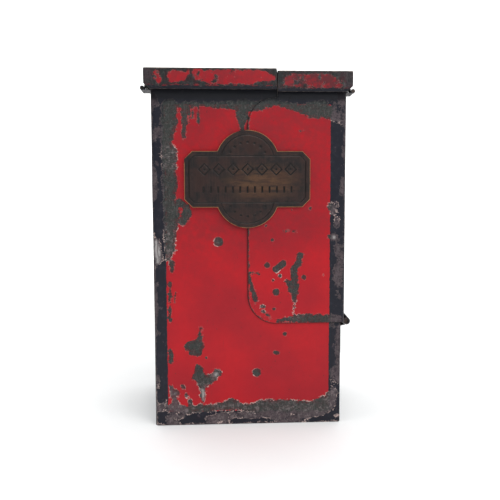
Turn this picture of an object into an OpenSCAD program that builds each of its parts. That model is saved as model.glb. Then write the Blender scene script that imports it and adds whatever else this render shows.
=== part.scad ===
// Bucket fire extinguisher box: an upright sheet-metal can with a brass plate, a two-leaf
// skirted lid, and a chute that closes the upper right side and swings out to pour.
// Front faces -Y, +X is to the right, +Z is up, and the origin is the middle of the base.

/* [Bucket] */
// Outside width of the lower body
body_w = 120; // [100:1:144]
// Outside depth of the body
body_d = 86; // [72:1:104]
// Height of the body's walls
wall_h = 223.8; // [186:0.2:270]
// Thickness of the body's sheet
sheet = 0.7; // [0.5:0.1:1]
// Outside radius of the body's folded corners
bend_r = 2.5; // [2:0.1:4]
// Height of the base tray's rim
base_rim_h = 8; // [5:0.5:14]
// Width of the hems beside the pouring throat
hem_w = 6; // [4:0.5:9]
// Radius of the wire round the mouth
wire_r = 1.2; // [0.8:0.1:1.5]

/* [Chute] */
// Distance of the lid seam to the right of the middle
seam_x = 18.6; // [10:0.2:26]
// Distance of the cheeks' free edge to the right of the middle
cheek_x = 0.3; // [0.3:0.1:6]
// Radius of the cheeks' free corners
cheek_r = 18; // [10:0.5:22]
// Drop from the top of the chute to the cheeks' shoulder
shoulder_drop = 15; // [13.5:0.5:30]
// Thickness of the chute's sheet
chute_sheet = 0.7; // [0.5:0.1:1]
// Distance that the chute's side stands out past the lower right wall
chute_proud = 2.2; // [2:0.1:3.5]
// Gap between a cheek and the wall behind it
cheek_gap = 0.3; // [0.3:0.05:0.6]
// Radius of the chute's folded corners
chute_bend_r = 1.6; // [1.2:0.1:2.5]

/* [Chute hinge] */
// Height of the chute hinge's axis
hinge_z = 66.4; // [50:0.2:90]
// Distance of the axis past the lower right wall
hinge_out = 4.6; // [4:0.1:6.5]
// Length of the chute hinge
hinge_len = 80; // [60:1:84]
// Outside radius of its knuckles
hinge_r = 2.3; // [2:0.1:2.8]
// Radius of its pin
pin_r = 1.5; // [1:0.1:1.8]
// Height of each leaf's flat part
leaf_h = 14; // [10:0.5:20]
// Thickness of its leaves
leaf_t = 0.7; // [0.5:0.1:0.9]
// Distance from the axis to where a leaf's flat part starts
leaf_start = 7; // [6.6:0.1:10]
// Distance below the axis at which the lower leaf leaves the wall
lower_start = 3; // [2.8:0.1:5]
// Distance that the pin's ends sit inside the knuckles
pin_recess = 1.2; // [0:0.1:3]
// Radius of the rivets' shanks
rivet_r = 1; // [0.8:0.1:1.5]
// Radius of the rivets' heads
rivet_head_r = 2; // [1.6:0.1:2.6]
// Height of the rivets' heads
rivet_head_h = 0.7; // [0.4:0.1:0.7]
// Distance between two rivets
rivet_pitch = 26; // [18:1:32]

/* [Lids] */
// Thickness of the lids' sheet
lid_sheet = 0.6; // [0.4:0.1:0.9]
// Overhang of the lids over the walls
lid_over = 3.8; // [3.4:0.1:6]
// Height of the lids' skirts, with the top
skirt_h = 12.8; // [11.6:0.1:18]
// Step up from the right lid to the left one
lid_step = 1.3; // [1.1:0.1:2]
// Gap between the two lids at the seam
seam_gap = 0.4; // [0.3:0.1:1]
// Gap between a lid and what it rests on
lid_rest = 0.3; // [0.2:0.05:0.6]
// Length of the slanted cut on each skirt's lower corner
corner_cut = 3.6; // [2:0.1:6]
// Outside radius of the lids' corners
lid_corner_r = 1.4; // [1:0.1:3]

/* [Lid hinges] */
// Distance of a lid's axis outside its skirt
lid_pivot_out = 1.7; // [1.6:0.1:3]
// Distance of a lid's axis below its top
lid_pivot_down = 10.6; // [9:0.1:12]
// Outside radius of the lid hinges' knuckles
lid_knuckle_r = 1.4; // [1.2:0.1:1.5]
// Radius of the lid hinges' pins
lid_pin_r = 0.8; // [0.5:0.1:0.9]
// Thickness of the lid hinges' leaves
lid_leaf_t = 0.5; // [0.4:0.05:0.6]
// Length taken up by the two short hinges of a lid, one at each end
lid_hinge_span = 76; // [50:1:80]
// Length of each short lid hinge
lid_hinge_len = 12; // [9:0.5:20]

/* [Nameplate] */
// Width of the nameplate
plate_w = 79; // [60:1:92]
// Height of the nameplate between its lobes
plate_h = 35; // [26:1:44]
// Thickness of the nameplate
plate_t = 1; // [0.6:0.1:1.2]
// Drop from the top of the walls to the nameplate's centre
plate_drop = 65.6; // [52:0.2:90]
// Size of its corner cuts
plate_cut = 5; // [3:0.5:8]
// Radius of its two lobes
lobe_r = 20; // [14:0.5:24]
// Height of each lobe above the straight edge
lobe_rise = 13; // [8:0.5:13.5]
// Radius of the studs behind it
stud_r = 1.6; // [1:0.1:2.5]
// Gap between the nameplate and the cheek that slides behind it
plate_gap = 0.4; // [0.3:0.1:0.8]

/* [Hidden] */
$fn = 72;

// Clearance where one piece seats in another
seat = 0.05;
// Radial play of a hinge pin in its knuckles
pin_play = 0.05;
// Gap between two knuckles
knuckle_gap = 0.3;
// A hinge longer than this has five knuckles, a shorter one three
long_hinge = 30;
// Length added to cutting shapes
over = 1;

// Height of the lower right wall above the hinge's axis
right_wall_h = hinge_z + leaf_start - 2;
// Outside face of the chute's side
chute_x = body_w / 2 + chute_proud;
// Outside face of the chute's cheeks
chute_y = body_d / 2 + cheek_gap + chute_sheet;
// Lower edge of the cheeks
cheek_z = hinge_z + 0.1;
// Lower edge of the chute's side between the cheeks
side_z = hinge_z + leaf_start + seat;
// Place of the chute hinge's axis
hinge_x = body_w / 2 + hinge_out;
// Half the depth of the lids over their skirts
lid_half_d = body_d / 2 + lid_over;
// Height of the right lid's top
right_top_z = wall_h + lid_rest + lid_sheet;
// Height of the left lid's top
left_top_z = right_top_z + lid_step;
// Length of each lid over its side skirt
left_lid_len = body_w / 2 + lid_over + seam_x - seam_gap / 2;
right_lid_len = chute_x + lid_over - seam_x - seam_gap / 2;
// Lower edge of the skirt's side panel, below the lid's top
side_skirt_h = lid_pivot_down - lid_knuckle_r - seat;
// Back of the nameplate
plate_y = -chute_y - plate_gap;
// Height of the nameplate's centre
plate_z = wall_h - plate_drop;
// Height of the part of a lid hinge's fixed leaf that lies on the wall
fixed_leaf_h = 7;
// Distance that the front end of the mouth wire stops short of the lid seam
wire_end = 2;
// Distance of the outer stud from the nameplate's end
stud_inset = 7;

black = [0.13, 0.14, 0.18];
red = [0.68, 0.13, 0.16];
brass = [0.36, 0.27, 0.16];
steel = [0.36, 0.34, 0.31];

// ---- Shared shapes ----

// Folded L in plan: outer corner at the origin, arms along +X and +Y
module l_plan(w, d, t, r) {
    translate([r, 0]) square([w - r, t]);
    translate([0, r]) square([t, d - r]);
    translate([r, r]) intersection() {
        difference() {
            circle(r);
            circle(r - t);
        }
        translate([-r, -r]) square(r);
    }
}

// Rectangle from x0 to x1 with its two corners at x1 rounded
module tongue(x0, x1, half, r) {
    translate([x0, -half]) square([x1 - r - x0, 2 * half]);
    translate([x0, r - half]) square([x1 - x0, 2 * (half - r)]);
    for (s = [-1, 1]) translate([x1 - r, s * (half - r)]) circle(r);
}

// Folded U in plan, open at x0
module u_plan(x0, x1, half, t, r) {
    difference() {
        tongue(x0, x1, half, r);
        tongue(x0 - over, x1 - t, half - t, r - t);
    }
}

// Rectangle centred on the origin with four rounded corners
module round_rect(w, d, r) {
    square([w - 2 * r, d], center = true);
    square([w, d - 2 * r], center = true);
    for (i = [-1, 1], j = [-1, 1]) translate([i * (w / 2 - r), j * (d / 2 - r)]) circle(r);
}

// Extrudes a profile drawn in X and Z along Y, centred on the XZ plane
module along_y(length) {
    translate([0, length / 2, 0]) rotate([90, 0, 0]) linear_extrude(length) children();
}

// Cylinder along X from x0
module rod_x(x0, length, r) {
    translate([x0, 0, 0]) rotate([0, 90, 0]) cylinder(h = length, r = r);
}

// Cylinder along Y, centred
module rod_y(length, r) {
    rotate([90, 0, 0]) cylinder(h = length, r = r, center = true);
}

// Length of one knuckle, and the place of knuckle i along Y
function knuckles(length) = length > long_hinge ? 5 : 3;
function knuckle_len(length) = (length + knuckle_gap) / knuckles(length) - knuckle_gap;
function knuckle_y(length, i) = (i - (knuckles(length) - 1) / 2) * (knuckle_len(length) + knuckle_gap);

// Knuckles of one leaf: the outer three for first = 0, the inner two for first = 1
module knuckle_row(length, first, r, bore, extra = 0) {
    for (i = [first : 2 : knuckles(length) - 1]) translate([0, knuckle_y(length, i), 0]) difference() {
        rod_y(knuckle_len(length) + extra, r);
        if (bore > 0) rod_y(knuckle_len(length) + over, bore);
    }
}

// Leaf that runs tangent to its knuckles, with the axis on the origin. The profile is drawn
// by children(); the other leaf's knuckles are cleared out of it.
module hinge_leaf(length, first, r, pin) {
    difference() {
        union() {
            difference() {
                along_y(length) children();
                knuckle_row(length, 1 - first, r + knuckle_gap, 0, 2 * knuckle_gap);
            }
            knuckle_row(length, first, r, 0);
        }
        rod_y(length + over, pin + pin_play);
    }
}

// Slanted strip from a point outside a circle of radius r at the origin to the circle's
// tangent point on its +X side; t is the strip's thickness towards the origin
module tangent_strip(from, r, t) {
    d = norm(from);
    side = from[1] > 0 ? 1 : -1;
    a = atan2(from[1], from[0]) - side * acos(r / d);
    n = [cos(a), sin(a)];
    polygon([from, r * n, (r - t) * n, from - t * n]);
}

// Rivet along +X through a stack of the given thickness that starts at x = 0: a flat head
// behind the stack and a domed one in front
module rivet(stack) {
    cap = rivet_head_h;
    ball = (rivet_head_r * rivet_head_r + cap * cap) / (2 * cap);
    rotate([0, 90, 0]) rotate_extrude() {
        square([rivet_r, stack]);
        translate([0, -cap]) square([rivet_head_r, cap]);
        intersection() {
            translate([0, stack + cap - ball]) circle(ball);
            translate([0, stack]) square([rivet_head_r, cap]);
        }
    }
}

module rivet_row() {
    for (i = [-1 : 1]) translate([0, i * rivet_pitch, 0]) children();
}

// ---- Bucket ----

// Front wall and left wall, folded from one sheet, with the hem beside the throat
module front_left_wrap() {
    color(red) {
        translate([-body_w / 2, -body_d / 2, 0])
            linear_extrude(wall_h) l_plan(body_w, body_d - sheet - seat, sheet, bend_r);
        throat_hem(-body_d / 2 + sheet);
    }
}

// Rear wall and lower right wall, folded from one sheet, with the hem beside the throat
module rear_right_wrap() {
    color(black) difference() {
        union() {
            translate([body_w / 2, body_d / 2, 0]) rotate(180)
                linear_extrude(right_wall_h) l_plan(body_w, body_d - sheet - seat, sheet, bend_r);
            translate([-body_w / 2, body_d / 2 - sheet, right_wall_h])
                cube([body_w, sheet, wall_h - right_wall_h]);
            throat_hem(body_d / 2 - 2 * sheet);
        }
        translate([body_w / 2 - 2 * sheet, 0, lower_rivet_z()])
            rivet_row() rod_x(0, 3 * sheet, rivet_r + seat);
    }
}

// Folded edge on the inside of a wall, next to the throat
module throat_hem(y) {
    translate([body_w / 2 - hem_w, y, right_wall_h + bend_r])
        cube([hem_w, sheet, wall_h - right_wall_h - bend_r]);
}

// Flat base with an upturned rim that fits inside the wraps
module base_tray() {
    w = body_w - 2 * (sheet + seat);
    d = body_d - 2 * (sheet + seat);
    r = bend_r - sheet - seat;
    color(steel) {
        linear_extrude(sheet) round_rect(w, d, r);
        linear_extrude(base_rim_h) difference() {
            round_rect(w, d, r);
            round_rect(w - 2 * sheet, d - 2 * sheet, r - sheet);
        }
    }
}

// Wire soldered inside the rim on the three fixed sides; the left lid rests on it
module mouth_wire() {
    x = body_w / 2 - sheet - seat - wire_r;
    y = body_d / 2 - sheet - seat - wire_r;
    turn_r = bend_r;
    run = x - turn_r + seam_x - wire_end;
    color(steel) translate([0, 0, left_top_z - lid_sheet - lid_rest - wire_r]) {
        for (s = [-1, 1]) {
            translate([0, s * y, 0]) rod_x(turn_r - x, run, wire_r);
            translate([turn_r - x, s * (y - turn_r), 0]) rotate(s > 0 ? 90 : 180)
                rotate_extrude(angle = 90) translate([turn_r, 0]) circle(wire_r);
        }
        translate([-x, 0, 0]) rod_y(2 * (y - turn_r), wire_r);
    }
}

// ---- Nameplate ----

// Brass plate: a rectangle with cut corners and a round lobe above and below
module nameplate() {
    c = plate_cut;
    w = plate_w / 2;
    h = plate_h / 2;
    lobe_z = h - lobe_r + lobe_rise;
    color(brass) translate([0, plate_y, plate_z]) rotate([90, 0, 0]) linear_extrude(plate_t) {
        polygon([
            [-w, c - h], [c - w, -h], [w - c, -h], [w, c - h],
            [w, h - c], [w - c, h], [c - w, h], [-w, h - c]
        ]);
        for (s = [-1, 1]) translate([0, s * lobe_z]) circle(lobe_r);
    }
}

// Studs that carry the nameplate on the fixed half of the front wall
module nameplate_studs() {
    gap = -body_d / 2 - plate_y;
    stud_x = plate_w / 2 - stud_inset;
    color(brass) for (p = [[-stud_x, 0], [-stud_x / 3, plate_h / 2], [-stud_x / 3, -plate_h / 2]])
        translate([p[0], plate_y + gap / 2, plate_z + p[1]]) rod_y(gap, stud_r);
}

// ---- Chute hinge ----

function lower_rivet_z() = hinge_z - leaf_start - leaf_h / 2;
function upper_rivet_z() = hinge_z + leaf_start + leaf_h / 2;

// Leaf on the outside of the lower right wall
module chute_hinge_lower_leaf() {
    x = leaf_t - hinge_out;
    color(black) difference() {
        translate([hinge_x, 0, hinge_z]) hinge_leaf(hinge_len, 1, hinge_r, pin_r) {
            foot = leaf_start + leaf_h;
            translate([x - leaf_t, -foot]) square([leaf_t, foot - lower_start + leaf_t]);
            tangent_strip([x, -lower_start], hinge_r, leaf_t);
        }
        translate([hinge_x - hinge_out - over, 0, lower_rivet_z()])
            rivet_row() rod_x(0, leaf_t + 2 * over, rivet_r + seat);
    }
}

// Leaf on the inside of the chute's side; it comes out under the side's lower edge
module chute_hinge_upper_leaf() {
    x = chute_proud - chute_sheet - hinge_out;
    color(black) difference() {
        translate([hinge_x, 0, hinge_z]) hinge_leaf(hinge_len, 0, hinge_r, pin_r) {
            translate([x - leaf_t, leaf_start - leaf_t / 2]) square([leaf_t, leaf_h + leaf_t / 2]);
            tangent_strip([x, leaf_start], hinge_r, leaf_t);
        }
        translate([hinge_x + x - leaf_t - over, 0, upper_rivet_z()])
            rivet_row() rod_x(0, leaf_t + 2 * over, rivet_r + seat);
    }
}

module chute_hinge_pin() {
    color(steel) translate([hinge_x, 0, hinge_z]) rod_y(hinge_len - 2 * pin_recess, pin_r);
}

module chute_hinge_lower_rivets() {
    color(steel) translate([body_w / 2 - sheet, 0, lower_rivet_z()])
        rivet_row() rivet(sheet + leaf_t);
}

module chute_hinge_upper_rivets() {
    color(steel) translate([chute_x - chute_sheet - leaf_t, 0, upper_rivet_z()])
        rivet_row() rivet(chute_sheet + leaf_t);
}

// ---- Chute ----

// Side of the chute and its two cheeks, folded from one sheet
module chute_shell() {
    shoulder_z = wall_h - shoulder_drop;
    neck_x = seam_x + seam_gap / 2;
    color(red) difference() {
        intersection() {
            translate([0, 0, cheek_z])
                linear_extrude(wall_h - cheek_z)
                    u_plan(cheek_x, chute_x, chute_y, chute_sheet, chute_bend_r);
            along_y(2 * chute_y + over) {
                translate([cheek_x + cheek_r, cheek_z])
                    square([chute_x - cheek_x - cheek_r, shoulder_z - cheek_z]);
                translate([cheek_x, cheek_z + cheek_r])
                    square([cheek_r + over, shoulder_z - cheek_z - 2 * cheek_r]);
                for (z = [cheek_z + cheek_r, shoulder_z - cheek_r])
                    translate([cheek_x + cheek_r, z]) circle(cheek_r);
                translate([neck_x, shoulder_z - cheek_r])
                    square([chute_x - neck_x, wall_h - shoulder_z + cheek_r]);
            }
        }
        translate([chute_x - chute_bend_r, chute_bend_r - chute_y, cheek_z - over])
            cube([chute_bend_r + over, 2 * (chute_y - chute_bend_r), side_z - cheek_z + over]);
        translate([chute_x - chute_sheet - over, 0, upper_rivet_z()])
            rivet_row() rod_x(0, chute_sheet + 2 * over, rivet_r + seat);
    }
}

// ---- Lids ----
// Each lid is drawn with the outside of its side skirt at x = 0, its top at z = 0 and its
// length along +X. The right lid is the mirror image.

module on_left() {
    translate([-body_w / 2 - lid_over, 0, left_top_z]) children();
}

module on_right() {
    translate([chute_x + lid_over, 0, right_top_z]) mirror([1, 0, 0]) children();
}

// Flat top panel of a lid
module lid_top(length) {
    translate([0, 0, -lid_sheet]) linear_extrude(lid_sheet)
        mirror([1, 0, 0]) tongue(-length, 0, lid_half_d, lid_corner_r);
}

// Rim strip under the panel: a side panel and two long panels with slanted lower corners
module lid_skirt(length) {
    low = -skirt_h;
    high = -side_skirt_h;
    intersection() {
        translate([0, 0, low]) linear_extrude(skirt_h - lid_sheet)
            mirror([1, 0, 0]) u_plan(-length, 0, lid_half_d, lid_sheet, lid_corner_r);
        along_y(2 * lid_half_d + over) polygon([
            [0, 0], [0, high], [lid_sheet, high], [lid_sheet + corner_cut, low],
            [length, low], [length, 0]
        ]);
    }
}

// A lid leaf has two short hinges, one at each end of its side
module lid_hinge_pair() {
    for (s = [-1, 1]) translate([0, s * (lid_hinge_span - lid_hinge_len) / 2, 0]) children();
}

// Leaf soldered inside the side skirt, curled round the pin from above
module lid_hinge_leaf() {
    lid_hinge_pair() translate([-lid_pivot_out, 0, -lid_pivot_down])
        hinge_leaf(lid_hinge_len, 1, lid_knuckle_r, lid_pin_r) {
            inner = lid_pivot_out + lid_sheet + seat;
            translate([0, lid_knuckle_r - lid_leaf_t]) square([inner + lid_leaf_t, lid_leaf_t]);
            translate([inner, lid_knuckle_r - lid_leaf_t])
                square([lid_leaf_t, lid_pivot_down - lid_knuckle_r - 2 * lid_sheet]);
        }
}

// Leaf on the wall that carries the lid, hidden by the skirt and curled round from below
module lid_hinge_fixed_leaf() {
    lid_hinge_pair() translate([-lid_pivot_out, 0, -lid_pivot_down])
        hinge_leaf(lid_hinge_len, 0, lid_knuckle_r, lid_pin_r) {
            wall = lid_pivot_out + lid_over;
            translate([0, -lid_knuckle_r]) square([wall, lid_leaf_t]);
            translate([wall - lid_leaf_t, -lid_knuckle_r]) square([lid_leaf_t, fixed_leaf_h]);
        }
}

module lid_hinge_pin() {
    lid_hinge_pair() translate([-lid_pivot_out, 0, -lid_pivot_down]) rod_y(lid_hinge_len, lid_pin_r);
}

module left_lid_top() { color(red) on_left() lid_top(left_lid_len); }
module left_lid_skirt() { color(red) on_left() lid_skirt(left_lid_len); }
module left_lid_hinge_leaf() { color(black) on_left() lid_hinge_leaf(); }
module left_lid_hinge_body_leaf() { color(black) on_left() lid_hinge_fixed_leaf(); }
module left_lid_hinge_pin() { color(steel) on_left() lid_hinge_pin(); }
module right_lid_top() { color(red) on_right() lid_top(right_lid_len); }
module right_lid_skirt() { color(red) on_right() lid_skirt(right_lid_len); }
module right_lid_hinge_leaf() { color(black) on_right() lid_hinge_leaf(); }
module right_lid_hinge_chute_leaf() { color(black) on_right() lid_hinge_fixed_leaf(); }
module right_lid_hinge_pin() { color(steel) on_right() lid_hinge_pin(); }

front_left_wrap();
rear_right_wrap();
base_tray();
mouth_wire();
nameplate();
nameplate_studs();
chute_hinge_lower_leaf();
chute_hinge_pin();
chute_hinge_lower_rivets();
left_lid_hinge_body_leaf();
left_lid_hinge_pin();
chute_shell();
chute_hinge_upper_leaf();
chute_hinge_upper_rivets();
right_lid_hinge_chute_leaf();
right_lid_hinge_pin();
left_lid_top();
left_lid_skirt();
left_lid_hinge_leaf();
right_lid_top();
right_lid_skirt();
right_lid_hinge_leaf();
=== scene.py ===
# Looks of the bucket fire extinguisher box: worn red and black enamel on folded sheet metal,
# a brass nameplate, two lid leaves and a swing-out chute. Lengths are in millimetres, and MM
# turns them into Blender's metres. The front faces -Y and +X is to the right.
import itertools
import math

import bmesh
import bpy
import numpy as np
from mathutils import Matrix, Vector


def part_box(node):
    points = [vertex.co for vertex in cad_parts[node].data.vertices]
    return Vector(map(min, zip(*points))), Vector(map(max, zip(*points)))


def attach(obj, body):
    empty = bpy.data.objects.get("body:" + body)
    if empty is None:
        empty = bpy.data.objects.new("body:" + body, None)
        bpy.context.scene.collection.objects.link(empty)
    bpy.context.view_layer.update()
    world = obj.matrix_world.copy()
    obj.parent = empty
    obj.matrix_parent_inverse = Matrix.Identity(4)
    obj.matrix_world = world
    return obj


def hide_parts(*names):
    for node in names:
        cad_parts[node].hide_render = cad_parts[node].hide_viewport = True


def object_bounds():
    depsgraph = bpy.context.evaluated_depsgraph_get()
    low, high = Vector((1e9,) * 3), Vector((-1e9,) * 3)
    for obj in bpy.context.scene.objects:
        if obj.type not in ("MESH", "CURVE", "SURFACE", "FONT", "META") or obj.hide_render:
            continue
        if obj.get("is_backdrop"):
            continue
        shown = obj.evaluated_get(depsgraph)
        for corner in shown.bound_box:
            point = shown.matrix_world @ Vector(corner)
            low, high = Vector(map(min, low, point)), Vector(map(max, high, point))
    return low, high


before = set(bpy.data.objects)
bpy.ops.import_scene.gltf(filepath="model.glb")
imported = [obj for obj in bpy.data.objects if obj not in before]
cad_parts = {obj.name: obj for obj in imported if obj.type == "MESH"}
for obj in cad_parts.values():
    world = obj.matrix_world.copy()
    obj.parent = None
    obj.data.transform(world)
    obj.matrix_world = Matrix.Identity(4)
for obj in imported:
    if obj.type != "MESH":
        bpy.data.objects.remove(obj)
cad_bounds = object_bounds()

MM = 0.001

# -------------------------------- sizes from the frame


def corners(node):
    """Lowest and highest corner of a CAD node, in millimetres."""
    low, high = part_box(node)
    return np.array(low) / MM, np.array(high) / MM


WRAP_LOW, WRAP_HIGH = corners("front_left_wrap")
REAR_LOW, REAR_HIGH = corners("rear_right_wrap")
CHUTE_LOW, CHUTE_HIGH = corners("chute_shell")
PLATE_LOW, PLATE_HIGH = corners("nameplate")
LEAF_HIGH = corners("chute_hinge_upper_leaf")[1]
WALL_TOP = WRAP_HIGH[2]
SHEET = 0.7  # thickness of the body's and the chute's sheet
LID_SHEET = 0.6
BODY_BEND = 2.5  # outside radius of the body's folds
CHUTE_BEND = 1.6
LID_BEND = 1.4
CHEEK_RADIUS = 18.0
SHOULDER_DROP = 15.0  # from the chute's top to its cheeks' shoulder
NECK_X = 18.8  # left edge of the chute above the shoulder
LEAF_FLAT = 14.0  # height of the chute leaf's flat part
SEAT = 0.05  # clearance where one piece seats in another
THROAT_GAP = 2.05  # from the chute's side down to the lower right wall
SIDE_FOOT = LEAF_HIGH[2] - LEAF_FLAT + SEAT  # lower edge of the chute's side
RIGHT_WALL_TOP = SIDE_FOOT - THROAT_GAP
NECK_START = 90.0  # above the cheeks' foot; the neck's strip begins inside their round part
HEM_WIDTH = 6.0  # of the walls' edges folded back beside the throat
SKIRT_CUT = 3.6  # slanted cut on the skirts' lower corners
LID_KNUCKLE = 2.8  # height of the lid hinges' knuckles
FAR = 9.0  # distance well away from the edge of a patch of paint

# -------------------------------- noise and distance fields


def lattice(ix, iy, iz, seed):
    """A repeatable number from 0 to 1 for each whole-number lattice point."""
    n = (ix * 374761393 + iy * 668265263 + iz * 2147483647 + seed * 974634777) & 0xFFFFFFFF
    n = ((n ^ (n >> 13)) * 1274126177) & 0xFFFFFFFF
    return ((n ^ (n >> 16)) & 0xFFFF) / 65535.0


def noise(p, size, seed):
    """Smooth noise from -1 to 1 at points p, with features of about the given size."""
    q = np.asarray(p, float) / size
    base = np.floor(q).astype(np.int64)
    t = q - base
    t = t * t * (3 - 2 * t)
    total = 0.0
    for step in itertools.product((0, 1), repeat=3):
        weight = math.prod(t[..., n] if up else 1 - t[..., n] for n, up in enumerate(step))
        total = total + weight * lattice(*(base[..., n] + up for n, up in enumerate(step)), seed)
    return 2 * total - 1


def rough_noise(p, size, seed, octaves=3):
    """Noise with finer octaves added, each half as large and half as strong."""
    total = sum(noise(p, size / 2**i, seed + i) / 2**i for i in range(octaves))
    return total / sum(0.5**i for i in range(octaves))


def ramp(x, low, high):
    """0 below low, 1 above high, smooth between."""
    t = np.clip((x - low) / (high - low), 0, 1)
    return t * t * (3 - 2 * t)


def strokes(x, z, lines):
    """How deep each point lies inside the nearest brush stroke. A line is a list of
    (x, z, radius) along which the radius changes evenly; one entry is a dot."""
    best = np.full(np.shape(x), -99.0)
    for line in lines:
        for a, b in zip(line, line[1:] or line):
            dx, dz = b[0] - a[0], b[1] - a[1]
            length2 = max(dx * dx + dz * dz, 1e-9)
            t = np.clip(((x - a[0]) * dx + (z - a[1]) * dz) / length2, 0, 1)
            away = np.hypot(x - a[0] - t * dx, z - a[1] - t * dz)
            best = np.maximum(best, a[2] + t * (b[2] - a[2]) - away)
    return best


def inside_box(x, z, x0, x1, z0, z1):
    """Distance to the nearest side of a box, positive inside it."""
    return np.minimum(np.minimum(x - x0, x1 - x), np.minimum(z - z0, z1 - z))


def inside_tongue(x, z, x0, z0, z1, radius):
    """The same for a strip open towards +X whose two corners at x0 are round."""
    flat = np.minimum(x - x0, np.minimum(z - z0, z1 - z))
    cx = x0 + radius
    cz = np.where(z < (z0 + z1) / 2, z0 + radius, z1 - radius)
    beyond = np.where(z < (z0 + z1) / 2, cz - z, z - cz)
    return np.where((x < cx) & (beyond > 0), radius - np.hypot(x - cx, z - cz), flat)


# -------------------------------- folded sheets


class Fold:
    """The plan of a folded sheet: its outer face passes the given corners, and the inner
    ones are rounded. It runs clockwise seen from above, so its outside is on the left."""

    def __init__(self, points, radius):
        self.runs = []
        u = 0.0
        start = Vector(points[0])
        for i in range(1, len(points)):
            here = Vector(points[i])
            way = (here - start).normalized()
            last = i == len(points) - 1
            stop = here if last else here - way * radius
            length = (stop - start).length
            self.runs.append(("line", u, u + length, start, way))
            u += length
            if not last:
                onward = (Vector(points[i + 1]) - here).normalized()
                centre = stop + onward * radius
                arc = radius * math.pi / 2
                self.runs.append(("arc", u, u + arc, centre, way))
                u += arc
                start = here + onward * radius
        self.length = u
        self.radius = radius

    def at(self, u):
        """Points and outward normals in plan for distances u along the fold."""
        x, y, nx, ny = (np.zeros(np.shape(u)) for _ in range(4))
        for i, (kind, u0, u1, origin, way) in enumerate(self.runs):
            here = (u >= u0) | (i == 0)
            if i < len(self.runs) - 1:
                here &= u < u1
            if kind == "line":
                x = np.where(here, origin.x + way.x * (u - u0), x)
                y = np.where(here, origin.y + way.y * (u - u0), y)
                nx, ny = np.where(here, -way.y, nx), np.where(here, way.x, ny)
            else:
                turn = (u - u0) / self.radius
                c, s = np.cos(turn), np.sin(turn)
                out_x, out_y = -way.y * c + way.x * s, way.x * c + way.y * s
                x = np.where(here, origin.x + self.radius * out_x, x)
                y = np.where(here, origin.y + self.radius * out_y, y)
                nx, ny = np.where(here, out_x, nx), np.where(here, out_y, ny)
        return x, y, nx, ny

    def columns(self, steps):
        """Distances along the fold, with one step size for each straight run."""
        found = [np.array([-steps[0]])]
        for i, (kind, u0, u1, _, _) in enumerate(self.runs):
            step = steps[i // 2] if kind == "line" else self.radius / 4
            count = max(2, round((u1 - u0) / step))
            found.append(np.linspace(u0, u1, count, endpoint=False))
        found.append(np.array([self.length, self.length + steps[-1]]))
        return np.concatenate(found)


def rows(z0, z1, step):
    """Even steps from z0 to z1, with one more beyond each end."""
    inner = np.linspace(z0, z1, max(2, round((z1 - z0) / step) + 1))
    return np.concatenate([[z0 - step], inner, [z1 + step]])


LIP = 0.12  # how far the rim of a sheet's faces stays inside its rounded edge
PROBE = 0.05  # step with which an outline's direction is measured
SHARP_ANGLE = 40.0  # degrees; folds sharper than this are shaded as edges


def cut_cell(cell, kept, ids, crossing):
    """The part of one grid cell that lies on the sheet, and its rim as pairs of points."""
    i, j = cell
    ring = [(i, j), (i + 1, j), (i + 1, j + 1), (i, j + 1)]
    face, cuts = [], []
    for a, b in zip(ring, ring[1:] + ring[:1]):
        if kept[a]:
            face.append(ids[a])
        if kept[a] != kept[b]:
            cuts.append((len(face), kept[a]))
            face.append(crossing(a, b))
    rim = []
    for k, (here, leaving) in enumerate(cuts):
        if leaving:
            rim.append((face[here], face[cuts[(k + 1) % len(cuts)][0]]))
    return tuple(face), rim


def cut_grid(us, vs, inside):
    """The part of a grid where inside(u, v) is positive: the points' u and v, the faces, the
    rim as pairs of points, and the numbers of the points on the rim."""
    u_grid, v_grid = np.meshgrid(us, vs, indexing="ij")
    d = inside(u_grid, v_grid)
    kept = d > 1e-6
    ids = -np.ones(d.shape, int)
    ids[kept] = np.arange(kept.sum())
    flat_u, flat_v = list(u_grid[kept]), list(v_grid[kept])
    crossings = {}

    def crossing(a, b):
        key = (a, b) if a < b else (b, a)
        if key not in crossings:
            t = d[a] / (d[a] - d[b])
            crossings[key] = len(flat_u)
            flat_u.append(u_grid[a] + t * (u_grid[b] - u_grid[a]))
            flat_v.append(v_grid[a] + t * (v_grid[b] - v_grid[a]))
        return crossings[key]

    full = kept[:-1, :-1] & kept[1:, :-1] & kept[1:, 1:] & kept[:-1, 1:]
    some = kept[:-1, :-1] | kept[1:, :-1] | kept[1:, 1:] | kept[:-1, 1:]
    faces, rim = [], []
    for i, j in np.argwhere(full):
        faces.append((ids[i, j], ids[i + 1, j], ids[i + 1, j + 1], ids[i, j + 1]))
    for cell in np.argwhere(some & ~full):
        face, edges = cut_cell(cell, kept, ids, crossing)
        faces.append(face)
        rim += edges
    return np.array(flat_u), np.array(flat_v), faces, rim, np.array(sorted(crossings.values()))


def lip_shift(u, v, inside):
    """The way from points on the outline to a little inside it."""
    gu = (inside(u + PROBE, v) - inside(u - PROBE, v)) / PROBE
    gv = (inside(u, v + PROBE) - inside(u, v - PROBE)) / PROBE
    size = np.maximum(np.hypot(gu, gv), 1e-6)
    return LIP * gu / size, LIP * gv / size


def closed_shell(faces, rim, on_rim, count):
    """Polygons and material numbers of a sheet's outer face, inner face and rounded edge.
    count is the number of points on each face; the edge's own points come after both."""
    lip_id = {int(r): 2 * count + k for k, r in enumerate(on_rim)}
    polygons = [tuple(int(i) for i in f) for f in faces]
    polygons += [tuple(int(i) + count for i in reversed(f)) for f in faces]
    materials = [0] * len(faces) + [1] * len(faces)
    for a, b in rim:
        a, b = int(a), int(b)
        polygons.append((b, a, lip_id[a], lip_id[b]))
        polygons.append((lip_id[b], lip_id[a], a + count, b + count))
        materials += [2, 2]
    return polygons, materials


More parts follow.
